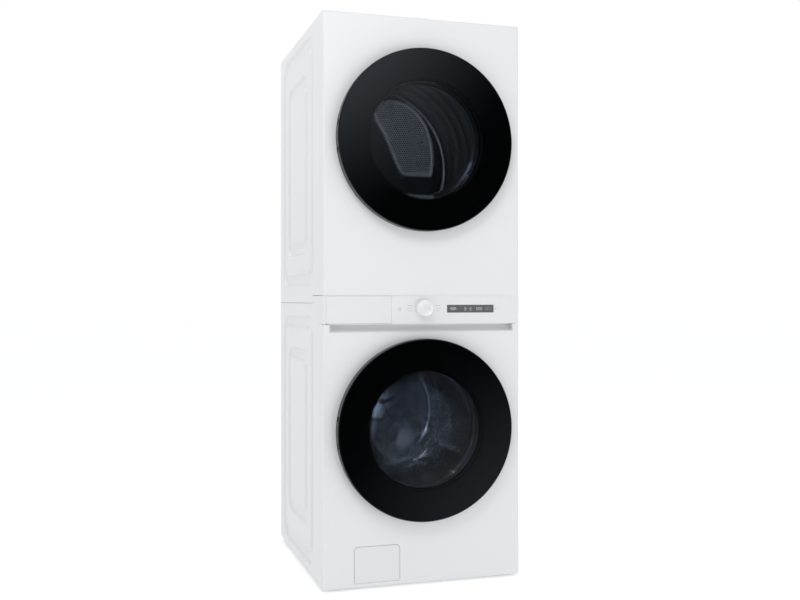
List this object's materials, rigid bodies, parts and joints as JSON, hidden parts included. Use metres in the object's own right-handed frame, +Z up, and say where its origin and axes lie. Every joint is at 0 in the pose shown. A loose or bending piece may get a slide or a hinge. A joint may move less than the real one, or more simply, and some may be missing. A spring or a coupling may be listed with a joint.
{
  "type": "washer dryer stack",
  "caption": "Laundry tower: front-loading washer under a dryer, with round black-glass doors, one shared console and a detergent drawer.",
  "frame": {"origin": "on the floor at the centre of the bounding box's footprint", "axes": "+Z up, -Y out of the doors, +X to the right of someone facing the doors"},
  "size_m": [0.686, 0.826, 1.89],
  "materials": {
    "white_steel": "smooth satin powder coat",
    "white_plastic": "satin",
    "tray_plastic": "satin",
    "galvanised_steel": "galvanised",
    "screw_steel": "zinc plated",
    "black_plastic": "gloss",
    "tinted_glass": "gloss, black printed border",
    "clear_glass": "gloss",
    "smoked_display": "smoked gloss",
    "frame_plastic": "fine matt",
    "stainless_steel": "brushed",
    "drum_steel": "satin galvanised",
    "knob_silver": "spun, radial sheen",
    "grey_rubber": "matt",
    "dark_rubber": "matt",
    "pump_plastic": "matt",
    "tub_plastic": "matt",
    "concrete": "cast",
    "cast_aluminium": "cast",
    "motor_iron": "painted",
    "filter_plastic": "satin",
    "valve_plastic": "matt"
  },
  "bodies": {
    "cabinet": {"washer_cabinet": "white_steel", "washer_base": "galvanised_steel", "washer_front_panel": "white_steel", "console_panel": "white_plastic", "display_module": "smoked_display", "dryer_cabinet": "white_steel", "dryer_front_panel": "white_steel", "dryer_deck": "galvanised_steel", "top_cover": "white_steel", "rear_covers": "galvanised_steel", "cabinet_screws": "screw_steel", "door_hinges": "frame_plastic", "door_latches": "black_plastic", "door_gasket": "grey_rubber", "dispenser_housing": "tray_plastic", "water_inlet_valves": "valve_plastic", "drain_pump": "pump_plastic", "tub_springs": "screw_steel", "damper_cylinders": "pump_plastic", "dryer_rear_bulkhead": "drum_steel", "dryer_front_bulkhead": "frame_plastic", "dryer_motor": "motor_iron", "air_ducts": "galvanised_steel", "drum_belt": "dark_rubber"},
    "washer_door": {"washer_door_glass": "tinted_glass", "washer_door_ring": "black_plastic", "washer_door_frame": "frame_plastic", "washer_door_bowl": "clear_glass"},
    "dryer_door": {"dryer_door_glass": "tinted_glass", "dryer_door_ring": "black_plastic", "dryer_door_frame": "frame_plastic", "dryer_door_window": "clear_glass"},
    "detergent_drawer": {"drawer_front": "white_plastic", "drawer_tray": "tray_plastic"},
    "selector_knob": {"knob": "knob_silver"},
    "power_button": {"power_key": "white_plastic"},
    "start_button": {"start_key": "white_plastic"},
    "filter_flap": {"filter_cover": "white_plastic"},
    "drain_filter": {"pump_filter": "filter_plastic"},
    "lint_screen": {"lint_filter": "filter_plastic"},
    "tub": {"tub_front": "tub_plastic", "tub_rear": "tub_plastic", "counterweight": "concrete", "stator": "motor_iron", "damper_rods": "screw_steel"},
    "wash_drum": {"washer_drum": "stainless_steel", "washer_lifters": "frame_plastic", "drum_spider": "cast_aluminium", "rotor": "motor_iron"},
    "drying_drum": {"dryer_drum": "drum_steel", "dryer_lifters": "frame_plastic"},
    "motor_rotor": {"motor_pulley": "screw_steel", "blower_wheel": "pump_plastic"},
    "roller_left": {"drum_roller_left": "dark_rubber"},
    "roller_right": {"drum_roller_right": "dark_rubber"},
    "idler": {"idler_pulley": "pump_plastic"},
    "foot_front_left_leg": {"foot_front_left": "dark_rubber"},
    "foot_front_right_leg": {"foot_front_right": "dark_rubber"},
    "foot_rear_left_leg": {"foot_rear_left": "dark_rubber"},
    "foot_rear_right_leg": {"foot_rear_right": "dark_rubber"}
  },
  "joints": [
    {"name": "washer_door_hinge", "type": "hinge", "parent": "cabinet", "child": "washer_door", "pos_m": [-0.29, -0.3965, 0.52], "axis": [0, 0, -1], "range_deg": [0, 130]},
    {"name": "dryer_door_hinge", "type": "hinge", "parent": "cabinet", "child": "dryer_door", "pos_m": [-0.29, -0.3965, 1.48], "axis": [0, 0, -1], "range_deg": [0, 130]},
    {"name": "drawer_slide", "type": "slide", "parent": "cabinet", "child": "detergent_drawer", "axis": [0, -1, 0], "range_m": [0, 0.26]},
    {"name": "knob_spin", "type": "hinge", "parent": "cabinet", "child": "selector_knob", "pos_m": [0, -0.387, 0.923], "axis": [0, 1, 0], "continuous": true},
    {"name": "power_press", "type": "slide", "parent": "cabinet", "child": "power_button", "axis": [0, 1, 0], "range_m": [0, 0.0008], "stiffness_N_per_m": 700, "springref_m": -0.0008},
    {"name": "start_press", "type": "slide", "parent": "cabinet", "child": "start_button", "axis": [0, 1, 0], "range_m": [0, 0.0008], "stiffness_N_per_m": 700, "springref_m": -0.0008},
    {"name": "flap_hinge", "type": "hinge", "parent": "cabinet", "child": "filter_flap", "pos_m": [-0.161, -0.369, 0.0296], "axis": [1, 0, 0], "range_deg": [0, 90]},
    {"name": "filter_turn", "type": "hinge", "parent": "cabinet", "child": "drain_filter", "pos_m": [-0.161, -0.315, 0.084], "axis": [0, -1, 0], "range_deg": [0, 180]},
    {"name": "lint_slide", "type": "slide", "parent": "cabinet", "child": "lint_screen", "axis": [0, 0, 1], "range_m": [0, 0.24]},
    {"name": "tub_bounce", "type": "slide", "parent": "cabinet", "child": "tub", "axis": [0, 0, 1], "range_m": [-0.01, 0.01], "stiffness_N_per_m": 20000, "springref_m": 0.01918, "deforming": ["tub_springs", "door_gasket"]},
    {"name": "wash_drum_spin", "type": "hinge", "parent": "tub", "child": "wash_drum", "pos_m": [0, 0.275, 0.52], "axis": [0, 1, 0], "continuous": true},
    {"name": "drying_drum_spin", "type": "hinge", "parent": "cabinet", "child": "drying_drum", "pos_m": [0, 0, 1.48], "axis": [0, 1, 0], "continuous": true},
    {"name": "motor_spin", "type": "hinge", "parent": "cabinet", "child": "motor_rotor", "pos_m": [-0.15, 0.001, 1.07], "axis": [0, 1, 0], "continuous": true},
    {"name": "roller_left_spin", "type": "hinge", "parent": "cabinet", "child": "roller_left", "pos_m": [-0.18722, 0.277, 1.18039], "axis": [0, 1, 0], "continuous": true},
    {"name": "roller_right_spin", "type": "hinge", "parent": "cabinet", "child": "roller_right", "pos_m": [0.18722, 0.277, 1.18039], "axis": [0, 1, 0], "continuous": true},
    {"name": "idler_spin", "type": "hinge", "parent": "cabinet", "child": "idler", "pos_m": [-0.062, 0.001, 1.092], "axis": [0, 1, 0], "continuous": true},
    {"name": "foot_front_left_adjust", "type": "slide", "parent": "cabinet", "child": "foot_front_left_leg", "axis": [0, 0, -1], "range_m": [0, 0.012]},
    {"name": "foot_front_right_adjust", "type": "slide", "parent": "cabinet", "child": "foot_front_right_leg", "axis": [0, 0, -1], "range_m": [0, 0.012]},
    {"name": "foot_rear_left_adjust", "type": "slide", "parent": "cabinet", "child": "foot_rear_left_leg", "axis": [0, 0, -1], "range_m": [0, 0.012]},
    {"name": "foot_rear_right_adjust", "type": "slide", "parent": "cabinet", "child": "foot_rear_right_leg", "axis": [0, 0, -1], "range_m": [0, 0.012]}
  ],
  "couplings": [
    {"joint": "motor_spin", "follows": "drying_drum_spin", "ratio": 30.124},
    {"joint": "roller_left_spin", "follows": "drying_drum_spin", "ratio": -8.2895},
    {"joint": "roller_right_spin", "follows": "drying_drum_spin", "ratio": -8.2895},
    {"joint": "idler_spin", "follows": "drying_drum_spin", "ratio": -13.575}
  ]
}
